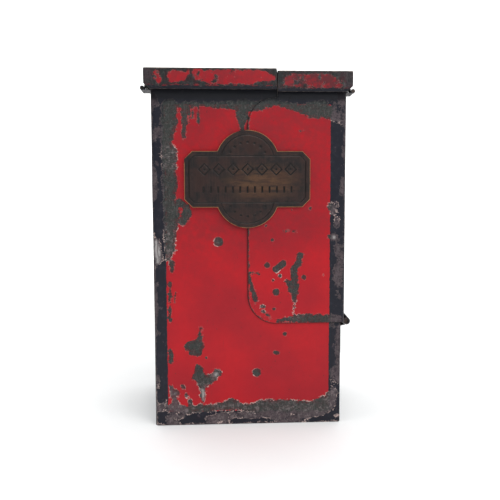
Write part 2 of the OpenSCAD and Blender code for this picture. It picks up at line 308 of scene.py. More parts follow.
def face_outwards(mesh):
    """Turns a closed mesh that is inside out."""
    solid = bmesh.new()
    solid.from_mesh(mesh)
    if solid.calc_volume(signed=True) < 0:
        mesh.flip_normals()
    solid.free()


def link_mesh(name, points, polygons, materials, attributes):
    """An object made of the polygons, with the attributes on its points."""
    mesh = bpy.data.meshes.new(name)
    mesh.from_pydata((points * MM).tolist(), [], polygons)
    mesh.polygons.foreach_set("material_index", materials)
    mesh.polygons.foreach_set("use_smooth", [True] * len(polygons))
    for field, values in attributes.items():
        layer = mesh.attributes.new(field, "FLOAT", "POINT")
        layer.data.foreach_set("value", np.asarray(values, np.float32))
    mesh.validate()
    face_outwards(mesh)
    mesh.set_sharp_from_angle(angle=math.radians(SHARP_ANGLE))
    made = bpy.data.objects.new(name, mesh)
    bpy.context.scene.collection.objects.link(made)
    return made


def cut_sheet(name, us, vs, inside, place, thickness, fields):
    """A sheet of metal as a fine closed mesh. inside(u, v) is positive on the sheet, and the
    grid is cut where it crosses zero. place(u, v, depth) gives points in millimetres, depth 0
    being the outer face. fields(u, v, points) gives the paint's attributes for each point."""
    u, v, faces, rim, on_rim = cut_grid(us, vs, inside)
    edge_u, edge_v = u[on_rim], v[on_rim]
    shift_u, shift_v = lip_shift(edge_u, edge_v, inside)
    u[on_rim] += shift_u
    v[on_rim] += shift_v
    outer, inner = place(u, v, 0.0), place(u, v, thickness)
    middle = place(edge_u, edge_v, thickness / 2)
    points = np.concatenate([outer, inner, middle])
    polygons, materials = closed_shell(faces, rim, on_rim, len(u))
    all_u, all_v = np.concatenate([u, u, edge_u]), np.concatenate([v, v, edge_v])
    return link_mesh(name, points, polygons, materials, fields(all_u, all_v, points))


def add_materials(piece, materials):
    for material in materials:
        piece.data.materials.append(material)


# -------------------------------- shader helpers


def colour(red, green, blue):
    """Linear colour from the usual 0 to 255 values."""
    def linear(c):
        c /= 255
        return c / 12.92 if c <= 0.04045 else ((c + 0.055) / 1.055) ** 2.4
    return (linear(red), linear(green), linear(blue), 1.0)


class Shader:
    """A material's node tree, with short calls for the nodes that the materials use."""

    def __init__(self, name):
        self.material = bpy.data.materials.new(name)
        self.material.use_nodes = True
        self.tree = self.material.node_tree
        self.surface = self.tree.nodes["Principled BSDF"]
        coords = self.tree.nodes.new("ShaderNodeTexCoord")
        self.place = self.vector("MULTIPLY", coords.outputs["Object"], (1 / MM,) * 3)

    def make(self, kind, inputs, output=0, **settings):
        """A new node's output. Inputs are links or fixed values; None leaves one as it is."""
        node = self.tree.nodes.new(kind)
        for key, value in settings.items():
            setattr(node, key, value)
        for key, value in inputs.items():
            if isinstance(value, bpy.types.NodeSocket):
                self.tree.links.new(value, node.inputs[key])
            elif value is not None:
                node.inputs[key].default_value = value
        return node.outputs[output]

    def vector(self, operation, a, b):
        return self.make("ShaderNodeVectorMath", {0: a, 1: b}, operation=operation)

    def math(self, operation, a, b=None):
        return self.make("ShaderNodeMath", {0: a, 1: b}, operation=operation)

    def attribute(self, name):
        return self.make("ShaderNodeAttribute", {}, output="Fac", attribute_name=name)

    def noise(self, size, detail=3.0, stretch=(1, 1, 1), rough=0.55):
        """Noise from 0 to 1 with features of about size millimetres."""
        where = self.vector("MULTIPLY", self.place, tuple(s / size for s in stretch))
        inputs = {"Vector": where, "Scale": 1.0, "Detail": detail, "Roughness": rough}
        return self.make("ShaderNodeTexNoise", inputs, output="Fac")

    def cells(self, size):
        """Distance to the nearest of scattered points that are about size millimetres apart."""
        where = self.vector("MULTIPLY", self.place, (1 / size,) * 3)
        inputs = {"Vector": where, "Scale": 1.0, "Randomness": 1.0}
        return self.make("ShaderNodeTexVoronoi", inputs, output="Distance")

    def ramp(self, value, low, high, start=0.0, end=1.0):
        """start where value is low, end where it is high, smooth between."""
        inputs = {"Value": value, "From Min": low, "From Max": high}
        inputs.update({"To Min": start, "To Max": end})
        return self.make("ShaderNodeMapRange", inputs, interpolation_type="SMOOTHSTEP")

    def mix(self, factor, a, b):
        """Colour a where factor is 0 and b where it is 1."""
        inputs = {0: factor, 6: a, 7: b}
        return self.make("ShaderNodeMix", inputs, output=2, data_type="RGBA")

    def blend(self, factor, a, b):
        """Number a where factor is 0 and b where it is 1."""
        return self.make("ShaderNodeMix", {0: factor, 2: a, 3: b}, data_type="FLOAT")

    def bump(self, height, depth):
        """Relief of the given depth in millimetres for heights from 0 to 1."""
        inputs = {"Height": height, "Distance": depth * MM, "Strength": 1.0}
        return self.make("ShaderNodeBump", inputs)

    def finish(self, **sockets):
        """The material, with its surface's sockets linked or set. _ stands for a space."""
        for name, value in sockets.items():
            socket = self.surface.inputs[name.replace("_", " ")]
            if isinstance(value, bpy.types.NodeSocket):
                self.tree.links.new(value, socket)
            else:
                socket.default_value = value
        return self.material


RED_BRIGHT = colour(185, 13, 26)
RED_DEEP = colour(162, 14, 29)
RED_DULL = colour(92, 30, 36)
BLACK_PAINT = colour(22, 23, 34)
BLACK_SHEEN = colour(34, 34, 44)
BLACK_WORN = colour(84, 70, 76)
METAL_GREEN = colour(54, 58, 56)
METAL_BROWN = colour(84, 73, 77)
METAL_DARK = colour(32, 31, 31)
METAL_BRIGHT = colour(112, 110, 106)
METAL_BLOOM = colour(136, 124, 124)
METAL_SILVER = colour(176, 172, 170)
PRIMER = colour(200, 176, 168)
# Dark dirt colour, also used as painted shade under the lids and beside the chute's cheek
GRIME_AND_SHADE = colour(9, 11, 18)


def red_enamel(s, mottle, grain, streak):
    """Red paint with fine dull streaks, thin spots and pinholes, duller where the attribute dull is
    high.
    """
    broad = s.noise(38.0, 2.0)
    red = s.mix(s.ramp(broad, 0.3, 0.7), RED_BRIGHT, RED_DEEP)
    red = s.mix(s.ramp(mottle, 0.5, 0.8, 0.0, 0.22), red, RED_DEEP)
    red = s.mix(s.ramp(streak, 0.6, 0.8, 0.0, 0.22), red, RED_DULL)
    thin = s.math("MULTIPLY", s.ramp(s.noise(14.0, 2.0), 0.5, 0.62), s.ramp(grain, 0.56, 0.68))
    red = s.mix(s.math("MULTIPLY", thin, 0.5), red, RED_DULL)
    pinholes = s.ramp(s.cells(4.2), 0.05, 0.1, 0.8, 0.0)
    red = s.mix(s.math("MULTIPLY", pinholes, s.ramp(broad, 0.4, 0.6)), red, METAL_DARK)
    dulled = s.math("MULTIPLY", s.attribute("dull"), s.ramp(mottle, 0.3, 0.62, 0.5, 1.3))
    return s.mix(s.math("MINIMUM", dulled, 1.0), red, RED_DULL)


def black_enamel(s, mottle):
    """Blue-black paint with rubbed brownish flecks."""
    black = s.mix(s.ramp(mottle, 0.5, 0.68), BLACK_PAINT, BLACK_SHEEN)
    flecks = s.noise(3.4, 5.0, stretch=(1, 1, 0.7), rough=0.72)
    return s.mix(s.ramp(flecks, 0.6, 0.68, 0.0, 0.6), black, BLACK_WORN)


def bare_iron(s, grain, streak, depth, border):
    """Worn metal, grey-green to brown, with traces of the paint that came off it."""
    brown = s.math("ADD", s.attribute("rust"), s.ramp(s.noise(6.0, 4.0), 0.35, 0.7, -0.3, 0.35))
    metal = s.mix(s.ramp(brown, 0.2, 0.8), METAL_GREEN, METAL_BROWN)
    metal = s.mix(s.ramp(grain, 0.5, 0.64, 0.0, 0.75), metal, METAL_DARK)
    bright = s.noise(0.8, 3.0, rough=0.7)
    metal = s.mix(s.ramp(bright, 0.55, 0.68, 0.0, 0.5), metal, METAL_BRIGHT)
    metal = s.mix(s.ramp(streak, 0.55, 0.72, 0.0, 0.25), metal, METAL_BRIGHT)
    bloom = s.ramp(s.noise(2.1, 5.0, rough=0.75), 0.5, 0.62, 0.05, 0.6)
    metal = s.mix(s.math("MULTIPLY", s.attribute("pale"), bloom), metal, METAL_BLOOM)
    rubbed = s.math("MULTIPLY", s.attribute("silver"), s.ramp(streak, 0.36, 0.56, 0.25, 0.95))
    metal = s.mix(rubbed, metal, METAL_SILVER)
    traces = s.ramp(s.noise(1.9, 4.0, rough=0.75), 0.47, 0.56)
    traces = s.math("MULTIPLY", traces, s.ramp(depth, 0.3, 3.0, 0.6, 0.1))
    return s.mix(traces, metal, s.mix(border, RED_DULL, BLACK_PAINT))


def primer_rim(s, depth):
    """Share of light primer that shows in a broken line just outside the bare metal."""
    rim = s.math("ABSOLUTE", s.math("ADD", depth, 0.14))
    rim = s.math("MULTIPLY", s.ramp(rim, 0.1, 0.3, 1.0, 0.0), s.attribute("pale"))
    return s.math("MULTIPLY", rim, s.ramp(s.noise(2.2, 2.0), 0.42, 0.58))


def enamel():
    """Red enamel with a black border on sheet iron. The attributes bare and black give, in
    millimetres, how deep a point lies in bare metal and in the black paint. The others are
    shares: pale for light primer along the chips' edges, rust for brown instead of grey-green
    metal, dull for duller, darker red, soot for dirt, and for painted shade under the lids and
    beside the chute's cheek, over everything, calm for chips with even edges, and silver for
    metal rubbed bright."""
    s = Shader("enamel")
    fine = s.noise(0.95, 3.0, rough=0.65)
    mottle = s.noise(4.0, 5.0, rough=0.68)
    grain = s.noise(1.3, 5.0, rough=0.75)
    streak = s.noise(1.1, 3.0, stretch=(1, 1, 0.09))
    shake = s.ramp(s.noise(3.4, 4.0, rough=0.62), 0.22, 0.78, -0.95, 0.95)
    shake = s.math("ADD", shake, s.ramp(fine, 0.25, 0.75, -0.6, 0.6))
    shake = s.math("MULTIPLY", shake, s.ramp(s.attribute("calm"), 0.0, 1.0, 1.0, 0.35))
    depth = s.math("ADD", s.attribute("bare"), shake)
    bare = s.ramp(depth, -0.06, 0.08)
    border = s.math("ADD", s.attribute("black"), s.math("MULTIPLY", shake, 0.22))
    border = s.ramp(border, -0.07, 0.07)
    paint = s.mix(border, red_enamel(s, mottle, grain, streak), black_enamel(s, mottle))
    shown = s.mix(bare, paint, bare_iron(s, grain, streak, depth, border))
    shown = s.mix(primer_rim(s, depth), shown, PRIMER)
    # Dirt over everything, with painted shade under the lids and a painted shadow line beside the
    # chute's cheek
    shown = s.mix(s.attribute("soot"), shown, GRIME_AND_SHADE)
    height = s.math("SUBTRACT", s.math("MULTIPLY", fine, 0.2), bare)
    height = s.math("ADD", height, s.math("MULTIPLY", mottle, 0.35))
    height = s.math("ADD", height, s.math("MULTIPLY", s.math("MULTIPLY", grain, bare), 0.7))
    return s.finish(
        Base_Color=shown,
        Roughness=s.math("ADD", s.blend(bare, 0.36, 0.5), s.ramp(mottle, 0.3, 0.8, 0.0, 0.16)),
        Metallic=s.math("MULTIPLY", bare, 0.4),
        Specular_IOR_Level=0.26,
        Normal=s.bump(height, 0.12),
    )


def tinplate():
    """Inside of the sheets: old tinned iron, dull grey with brown bloom."""
    s = Shader("tinplate")
    spangle = s.cells(5.0)
    cloud = s.noise(9.0, 5.0)
    tone = s.mix(s.ramp(spangle, 0.1, 0.7), colour(116, 114, 109), colour(104, 102, 98))
    tone = s.mix(s.ramp(cloud, 0.5, 0.72, 0.0, 0.85), tone, colour(88, 68, 54))
    tone = s.mix(s.ramp(s.noise(1.2, 4.0), 0.6, 0.75, 0.0, 0.6), tone, colour(60, 46, 38))
    return s.finish(
        Base_Color=tone,
        Roughness=s.ramp(cloud, 0.3, 0.7, 0.38, 0.6),
        Metallic=s.ramp(cloud, 0.45, 0.7, 0.8, 0.35),
        Normal=s.bump(s.noise(0.9, 4.0), 0.06),
    )


def raw_edge():
    """Cut or folded edge of a sheet, rubbed to dark metal."""
    s = Shader("raw_edge")
    tone = s.mix(s.ramp(s.noise(2.5, 4.0), 0.4, 0.65), colour(58, 52, 50), colour(116, 106, 98))
    return s.finish(
        Base_Color=tone, Roughness=0.5, Metallic=0.4, Normal=s.bump(s.noise(0.6, 3.0), 0.05)
    )


def hinge_metal(name, dark, light, metallic):
    """Rolled hinge leaves, pins and rivets: old iron with rust and remains of paint."""
    s = Shader(name)
    patches = s.noise(7.0, 7.0, rough=0.72)
    tone = s.mix(s.ramp(patches, 0.49, 0.54), dark, light)
    tone = s.mix(s.ramp(s.noise(1.6, 4.0, rough=0.7), 0.6, 0.7, 0.0, 0.6), tone, colour(92, 60, 45))
    return s.finish(
        Base_Color=tone,
        Roughness=s.ramp(patches, 0.3, 0.7, 0.42, 0.68),
        Metallic=metallic,
        Normal=s.bump(s.noise(0.7, 4.0), 0.07),
    )


def brass():
    """Nameplate: dark patina, rubbed golden in the middle, with a painted highlight along its
    edges. The attribute groove is how deep a point lies in an engraved line, edge the distance to the
    outline, both in millimetres, and gold is the share of rubbed metal."""
    s = Shader("brass")
    groove = s.ramp(s.attribute("groove"), -0.12, 0.06)
    brushed = s.noise(0.5, 3.0, stretch=(1, 1, 0.05))
    cloud = s.noise(7.0, 5.0, rough=0.6)
    patina = s.mix(s.ramp(cloud, 0.38, 0.65), colour(53, 36, 33), colour(25, 21, 22))
    rubbed = s.noise(5.0, 4.0, stretch=(0.35, 1, 1.6), rough=0.7)
    gold = s.math("MULTIPLY", s.attribute("gold"), s.ramp(rubbed, 0.35, 0.62, 0.1, 0.75))
    tone = s.mix(gold, patina, colour(104, 76, 56))
    tone = s.mix(s.ramp(brushed, 0.45, 0.75, 0.0, 0.35), tone, colour(72, 53, 44))
    tone = s.mix(s.ramp(s.noise(1.3, 4.0), 0.58, 0.75, 0.0, 0.6), tone, colour(30, 27, 27))
    tone = s.mix(groove, tone, colour(24, 19, 17))
    # Painted highlight along the plate's edges, broken up by noise
    edge_highlight = s.ramp(s.attribute("edge"), 0.1, 0.5, 1.0, 0.0)
    edge_highlight = s.math("MULTIPLY", edge_highlight, s.ramp(s.noise(9.0, 2.0), 0.3, 0.5))
    tone = s.mix(edge_highlight, tone, colour(176, 128, 84))
    height = s.math("SUBTRACT", s.math("MULTIPLY", brushed, 0.2), groove)
    return s.finish(
        Base_Color=tone,
        Roughness=s.ramp(cloud, 0.3, 0.7, 0.34, 0.52),
        Metallic=s.blend(gold, 0.45, 0.75),
        Normal=s.bump(height, 0.12),
    )


# -------------------------------- paint on the front

RED_PANEL = (-51.6, 52.4, 9.0, 204.6)  # left, right, bottom and top of the red field

# Bare metal on the front, as brush strokes of (x, z, radius)
WORN_COLUMN = [
    (-48, 203, 5), (-48.5, 192, 5.2), (-50.5, 183, 3.5), (-50.5, 179, 3.5), (-48.7, 175, 5),
    (-48.8, 168, 4.8), (-49.2, 163, 4.2), (-48.2, 158, 5.1), (-49, 150, 4.2), (-49, 144, 4.2),
    (-47.5, 138, 5), (-48.5, 130, 4.5), (-49, 122, 3.8), (-49, 115, 3.6), (-50, 109, 1.8),
]
TOP_BAND = [
    (-44, 204, 1.8), (-34, 204.8, 1.4), (-24, 204.8, 1.3), (-18, 204, 2), (-10, 204.4, 2.8),
    (-1, 203, 3.2), (9, 203.6, 2.6), (16, 206, 2.6), (20, 205, 1.4), (27, 203.6, 2.2),
    (34, 202.2, 2.8), (41, 201, 5), (46, 202, 5.4), (51, 200, 4.2), (55, 196, 2),
]
BOTTOM_BAND = [
    (-49, 11.5, 3.5), (-40, 10, 2.6), (-28, 10.8, 2.4), (-18, 11.8, 2.8), (-11, 13, 4.2),
    (-4, 11, 2.4), (2, 10, 2.6), (8, 11.5, 4.2), (18, 11, 4.6), (28, 10.4, 5), (40, 9, 5),
    (46, 10, 6), (52, 13, 5.5), (56, 20, 2.5),
]
FRONT_BARE = [
    WORN_COLUMN, TOP_BAND, BOTTOM_BAND, [(-2.5, 204, 4), (-3, 198, 3.8), (-3.2, 189, 1)],
    [(-38.5, 203, 2.8), (-39, 194, 1.9), (-39.3, 185, 1.3)],
    [(-35.6, 204, 1.2), (-36.3, 194, 0.8)], [(-34.0, 204, 0.6), (-34.3, 196, 0.5)],
    [(-30.5, 203.5, 0.5), (-30.5, 193, 0.4)],
    [(-43, 144, 2.7), (-38.5, 141, 1.7), (-38, 137, 2.4), (-41, 132, 2.7)],
    [(-48, 107, 1.4), (-48, 101, 1.3)], [(-49.3, 93, 1), (-50, 78, 0.9), (-49.5, 69, 1.3)],
    [(-45.7, 86, 0.8), (-47, 80, 0.5)], [(-49.5, 49, 1.7), (-49.5, 43, 1.9)],
    [(-37, 51.6, 3.4), (-32.6, 52.5, 4.6)], [(-36.6, 48, 2.2), (-31.6, 48, 2.2)],
    [(-31.4, 56, 1.8), (-30, 64, 0.9)],
    [(-31.8, 37, 2.8), (-31.8, 32.5, 4), (-29, 28.5, 4), (-25.5, 29.5, 3.4), (-22.5, 31.5, 2.4),
     (-19.8, 33.8, 2.6)], [(-29.6, 25, 1.6), (-29.4, 20.5, 1.5), (-29, 15, 1)],
    [(-50, 26, 1), (-47.8, 20, 1.4), (-47, 14, 2)], [(-42, 25.5, 1.5)], [(-40, 19.8, 1.5)],
    [(-38, 15.5, 1.5), (-37.5, 12, 1.8)], [(-57.2, 187, 1.9), (-57.6, 183, 1.6)],
    [(-56.3, 168.4, 1.5)], [(-58.3, 156.7, 1.2), (-57.8, 153, 1.4)],
    [(-57.9, 120, 2.2), (-57.4, 114, 3), (-56.9, 106.5, 2)], [(-55.5, 118, 1), (-54.5, 108, 1.1)],
    [(-57.6, 92, 1.2)], [(-58.4, 81, 1)], [(-57.4, 61, 1.2)], [(-58.4, 32, 1), (-58, 26, 1)],
    [(-55.7, 12, 1.9)], [(58.8, 63, 1.6), (58.2, 52, 2), (58.8, 40, 1.5), (58, 28, 2.3)],
]
CHEEK_BARE = [
    [(0.5, 99.5, 0.7), (2.1, 99.3, 0.6), (6.5, 98.9, 0.7)],
    [(1, 96, 0.5), (1.5, 93, 1), (3.3, 86.5, 1.9), (5.2, 81, 1.4)], [(9, 77.5, 1.1)],
    [(10, 74.2, 1), (14, 70, 1)],
    [(19.5, 68.2, 0.8), (27, 69, 1.8), (33, 69.4, 2.8), (50, 69, 2.8), (58, 68.5, 2.6)],
    [(33.6, 109.5, 2.2), (32, 105, 2.2), (29.6, 100.6, 2.5), (29.8, 95, 2.1), (30, 89.5, 2.7),
     (29.8, 85, 2.2), (29.8, 81, 1.1)], [(25.6, 93, 1.7), (28.5, 88.5, 2.4)],
    [(29.7, 78, 0.35), (29.6, 74, 0.35), (30, 71.5, 0.6)], [(48.3, 97.3, 0.6)],
    [(33, 188.3, 0.4), (37, 188.3, 0.4)], [(22.5, 125.6, 0.35), (30.8, 125.6, 0.35)],
    [(60.4, 158, 1.6), (60.2, 150, 1.6)], [(53, 141, 2.3), (54.5, 137.5, 1.9)],
    [(56.5, 133, 1.5), (56.8, 129, 1.7)], [(52.2, 122, 1.4), (55, 121.5, 2.4), (57, 119.5, 1.1)],
    [(57, 115.5, 1.9), (57.5, 111, 1.7)],
    [(58.6, 106, 1.6), (58, 101, 3), (57.4, 96, 3.3), (58.6, 90.5, 1.8)], [(57.6, 86.5, 0.8)],
    [(59.2, 83, 0.9)],
]
WALL_DOTS = [
    [(-18.5, 119, 3)], [(5.7, 34, 2.7)], [(23.9, 59, 1.4)], [(-27, 44.3, 0.9)],
    [(17.3, 47.2, 1.2), (19.2, 46.6, 1.2)],
]
CHEEK_DOTS = [
    [(12.3, 104, 1.8)], [(18, 101.4, 2.3), (22.8, 105, 2)], [(20.6, 97, 1.2)], [(16, 94.3, 0.8)],
    [(18, 86.6, 2.3)], [(36, 96, 1.6)], [(10.5, 77.2, 1)], [(16.8, 75.6, 1)], [(15.5, 120, 1)],
    [(39.7, 140, 1)], [(11.7, 129, 0.8)], [(27.6, 139, 0.5)], [(48.3, 97.3, 0.7)],
]
# Where the metal is rubbed bright, as brush strokes
SILVER = [
    [(-57.6, 119, 1.2), (-57.4, 113, 2.4), (-57.2, 107, 1.4)], [(-20.5, 33.2, 1.3)],
    [(-29.5, 23, 0.8), (-29.2, 17, 0.8)], [(55, 121.5, 0.9)],
]
# Where light primer shows along the chips, as (x, z, reach)
PALE_SPOTS = [
    (-20.5, 117.5, 2.2), (3.2, 34, 2), (29.6, 75, 5), (9, 77.5, 3), (20.6, 97, 3.5),
    (-19.5, 33, 5), (-29, 18, 8), (-48, 120, 8), (-46, 172, 6), (55, 192, 3), (56, 138, 5),
    (-58, 115, 9),
]


def border_patches(x, z, corner, points):
    """Worn patches of the black border and of the lower left corner. spare is how much of the
    noise stays below the paint: the less it is, the more metal shows."""
    left, right, bottom, top = RED_PANEL
    spare = FAR + 0 * x
    spare = np.where(x > right, 0.5 - 0.34 * ramp(x, right + 1, right + 6), spare)
    spare = np.where(x < left, 0.62 - 0.5 * ramp(-x, -left + 2, -left + 8), spare)
    spare = np.where(z < bottom - 1, 0.1, spare)
    spare = np.minimum(spare, 0.02 + 0.75 * corner**2)
    spare = np.where((z > top + 1) & (np.abs(x) < 52), 0.75, spare)
    upright = rough_noise(points * (1, 1, 0.55), 6.0, 12, 3)
    lying = rough_noise(points * (0.5, 1, 1.3), 6.0, 14, 3)
    return (np.where(z < bottom, lying, upright) - spare) * 8


def pale_share(x, z):
    """Where light primer shows along the chips: low on the front and at a few spots."""
    pale = 0.12 + 0.85 * ramp(34 - z, 0, 14)
    for sx, sz, reach in PALE_SPOTS:
        pale = np.maximum(pale, 1 - ramp(np.hypot(x - sx, z - sz), reach, 1.8 * reach))
    return pale


def front_marks(x, z, lines, dots, points):
    """Attributes of the painted front: listed chips on the red field and its border."""
    left, right, bottom, top = RED_PANEL
    round_chips = strokes(x, z, dots)
    bare = strokes(x, z, FRONT_BARE + lines) + 0.45 * rough_noise(points, 3.5, 11)
    corner = np.hypot((x - left) / 15, (z - bottom) / 20)
    bare = np.maximum(np.maximum(bare, round_chips), border_patches(x, z, corner, points))
    rust = np.maximum(ramp(np.abs(x), 50, 56), ramp(10 - z, 0, 4))
    return {
        "bare": bare,
        "black": -inside_box(x, z, left, right, bottom, top),
        "pale": pale_share(x, z),
        "rust": np.maximum(rust, 1 - ramp(corner, 0.5, 1.1)),
        # The red is made duller towards the top of the front, rising from z 95 to 135
        "dull": 0.12 + 0.12 * noise(points, 30, 5) + 0.24 * ramp(z, 95, 135),
        # Painted shade at the top of the front, under the lids' skirts
        "soot": 0.9 * ramp(z, 205, 209),
        "calm": ramp(round_chips, -2.5, -1.5),
        "silver": ramp(strokes(x, z, SILVER), -0.8, 0.8),
    }


def edge_wear(distance, points, width, seed):
    """Bare metal that spreads in from an edge by a varying width."""
    spread = width * (0.35 + 0.9 * rough_noise(points, 16, seed) + 0.45 * noise(points, 4, seed + 7))
    return spread - distance


def blotches(points, size, share, seed):
    """Scattered bare patches; share is how much of the surface they take."""
    return (rough_noise(points, size, seed, 4) - (0.75 - share)) * size * 0.8


# -------------------------------- pieces


def front_left_wrap(materials):
    """Front and left wall. Under the chute's cheek the front was never painted."""
    x_left, x_right = WRAP_LOW[0], WRAP_HIGH[0]
    fold = Fold([(x_right, WRAP_LOW[1]), (x_left, WRAP_LOW[1]), (x_left, WRAP_HIGH[1])], BODY_BEND)
    us = fold.columns([0.9, 1.9])
    vs = rows(0, WALL_TOP, 0.9)
    front_end = x_right - x_left - BODY_BEND

    def inside(u, v):
        return inside_box(u, v, 0, fold.length, 0, WALL_TOP)

    def place(u, v, depth):
        x, y, nx, ny = fold.at(u)
        p = np.stack([x, y, v], -1)
        on_side = ramp(u, front_end, front_end + 12)
        hollow = 0.18 + 0.18 * noise(p, 38, 21)
        buckle = 0.3 * noise(p, 30, 22) + 0.12 * noise(p, 9, 23)
        fade = ramp(np.minimum(v, WALL_TOP - v), 0, 14)
        sink = hollow * (1 - on_side) * fade - buckle * on_side * (0.3 + 0.7 * fade)
        off = depth + sink
        return np.stack([x - nx * off, y - ny * off, v], -1)

    def fields(u, v, points):
        x = x_right - u
        found = front_marks(x, v, [], WALL_DOTS, points)
        on_side = u > front_end + BODY_BEND
        covered = inside_tongue(
            x, v, CHUTE_LOW[0], CHUTE_LOW[2], CHUTE_HIGH[2] - SHOULDER_DROP, CHEEK_RADIUS
        )
        covered = np.maximum(covered, np.minimum(x - NECK_X, v - CHUTE_LOW[2] - NECK_START))
        found["bare"] = np.where(on_side, -FAR, np.maximum(found["bare"], covered - 1.2))
        distance = np.minimum(np.minimum(v, WALL_TOP - v), np.abs(u - front_end - 2))
        distance = np.minimum(distance, fold.length - u)
        side = np.maximum(edge_wear(distance, points, 3.5, 31), blotches(points, 11, 0.3, 32))
        edge = edge_wear(np.abs(u - front_end - 2.4), points, 1.2, 33)
        bottom = edge_wear(v, points, 1.6, 34)
        found["bare"] = np.maximum(found["bare"], np.where(on_side, side, -FAR))
        found["bare"] = np.maximum(found["bare"], np.maximum(edge, bottom))
        found["black"] = np.where(on_side, FAR, found["black"])
        found["pale"] = np.where(on_side, 0.2, found["pale"])
        found["rust"] = np.where(on_side, 0.85, found["rust"])
        # Dirt on the wall under the chute's cheek, and a painted shadow in a thin line just outside
        # its outline
        found["soot"] = np.maximum(found["soot"], 0.8 * ramp(covered, -0.9, -0.2) * ~on_side)
        return found

    wrap = cut_sheet("front_left_sheet", us, vs, inside, place, SHEET, fields)
    add_materials(wrap, materials)
    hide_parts("front_left_wrap")
    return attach(wrap, "bucket")


def rear_right_wrap(materials):
    """Rear wall and lower right wall, black all over."""
    x_left, x_right = REAR_LOW[0], REAR_HIGH[0]
    y_rear = REAR_HIGH[1]
    fold = Fold([(x_left, y_rear), (x_right, y_rear), (x_right, REAR_LOW[1])], BODY_BEND)
    us = fold.columns([1.3, 1.1])
    vs = rows(0, WALL_TOP, 1.2)
    rear_end = x_right - x_left - BODY_BEND

    def inside(u, v):
        low = inside_box(u, v, 0, fold.length, 0, RIGHT_WALL_TOP)
        return np.maximum(low, inside_box(u, v, 0, rear_end, 0, WALL_TOP))

    def place(u, v, depth):
        x, y, nx, ny = fold.at(u)
        p = np.stack([x, y, v], -1)
        fade = ramp(np.minimum(v, WALL_TOP - v), 0, 14)
        off = depth + (0.16 + 0.16 * noise(p, 34, 41)) * fade
        return np.stack([x - nx * off, y - ny * off, v], -1)

    def fields(u, v, points):
        distance = np.minimum(np.minimum(v, WALL_TOP - v), np.minimum(u, fold.length - u))
        distance = np.minimum(distance, np.abs(u - rear_end - 2))
        bare = np.maximum(edge_wear(distance, points, 4, 42), blotches(points, 12, 0.31, 43))
        return painted_black(bare, points)

    wrap = cut_sheet("rear_right_sheet", us, vs, inside, place, SHEET, fields)
    add_materials(wrap, materials)
    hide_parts("rear_right_wrap")
    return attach(wrap, "bucket")


def throat_hem(name, node, y, depth_sign, materials):
    """Edge of a wall folded back on its inside, beside the throat. y is its hidden face."""
    x1, z1 = WRAP_HIGH[0], WALL_TOP
    x0, z0 = x1 - HEM_WIDTH, RIGHT_WALL_TOP + BODY_BEND

    def inside(u, v):
        return inside_box(u, v, x0, x1, z0, z1)

    def place(u, v, depth):
        return np.stack([u, y + depth_sign * depth + 0 * u, v], -1)

    def fields(u, v, points):
        return {"bare": 0 * u}

    hem = cut_sheet(name, rows(x0, x1, 1.5), rows(z0, z1, 3.0), inside, place, SHEET, fields)
    add_materials(hem, [materials[1], materials[1], materials[2]])
    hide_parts(node)
    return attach(hem, "bucket")


def painted_black(bare, points):
    """Attributes of a sheet that is black all over."""
    same = np.ones(len(bare))
    rust = 0.75 + 0.25 * noise(points, 20, 44)
    return {
        "bare": bare, "black": FAR * same, "pale": 0.2 * same, "rust": rust, "dull": 0.2 * same,
        "soot": 0.1 * same,
    }


def chute_shell(materials):
    """Side of the chute with its two cheeks; the front cheek carries on the painted front."""
    x_left, x_right = CHUTE_LOW[0], CHUTE_HIGH[0]
    y_front, y_rear = CHUTE_LOW[1], CHUTE_HIGH[1]
    fold = Fold(
        [(x_left, y_rear), (x_right, y_rear), (x_right, y_front), (x_left, y_front)], CHUTE_BEND
    )
    us = fold.columns([1.2, 1.7, 0.8])
    z_low, z_high = CHUTE_LOW[2], CHUTE_HIGH[2]
    shoulder = z_high - SHOULDER_DROP
    vs = rows(z_low, z_high, 0.85)
    cheek_len = x_right - x_left - CHUTE_BEND
    side_start, side_end = cheek_len + CHUTE_BEND * math.pi / 2, fold.length - cheek_len
    side_end -= CHUTE_BEND * math.pi / 2

    def cheek_x(u):
        return x_left + np.minimum(u, fold.length - u)

    def inside(u, v):
        x = cheek_x(u)
        cheek = inside_tongue(x, v, x_left, z_low, shoulder, CHEEK_RADIUS)
        neck = np.minimum(x - NECK_X, np.minimum(v - (shoulder - CHEEK_RADIUS), z_high - v))
        beside = np.maximum(side_start - u, u - side_end)
        return np.minimum(np.maximum(cheek, neck), np.maximum(v - SIDE_FOOT, beside))

    def place(u, v, depth):
        x, y, nx, ny = fold.at(u)
        p = np.stack([x, y, v], -1)
        on_side = ramp(u, side_start, side_start + 10) * ramp(side_end - u, 0, 10)
        fade = ramp(np.minimum(v - z_low, z_high - v), 0, 14)
        swell = (0.09 + 0.09 * noise(p, 26, 51)) * (1 - on_side) * fade
        buckle = 0.22 * noise(p, 30, 52) * on_side * fade
        off = depth - swell - buckle
        return np.stack([x - nx * off, y - ny * off, v], -1)

    def fields(u, v, points):
        x = cheek_x(u)
        found = front_marks(x, v, CHEEK_BARE, CHEEK_DOTS, points)
        front = u > side_end
        outline = inside(u, v)
        rubbed = edge_wear(outline, points, 0.8, 55)
        fold_edge = np.minimum(np.abs(u - side_start + 1), np.abs(u - side_end - 1))
        side = np.maximum(
            edge_wear(np.minimum(outline, fold_edge), points, 3.5, 53), blotches(points, 11, 0.31, 54)
        )
        corner = edge_wear(fold_edge, points, 1.6, 56)
        found["bare"] = np.where(front, np.maximum(found["bare"], np.maximum(rubbed, corner)), side)
        found["black"] = np.where(front, found["black"], FAR)
        found["pale"] = np.where(front, found["pale"], 0.2)
        found["rust"] = np.where(front, found["rust"], 0.8)
        return found

    shell = cut_sheet("chute_sheet", us, vs, inside, place, SHEET, fields)
    add_materials(shell, materials)
    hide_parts("chute_shell")
    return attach(shell, "chute")


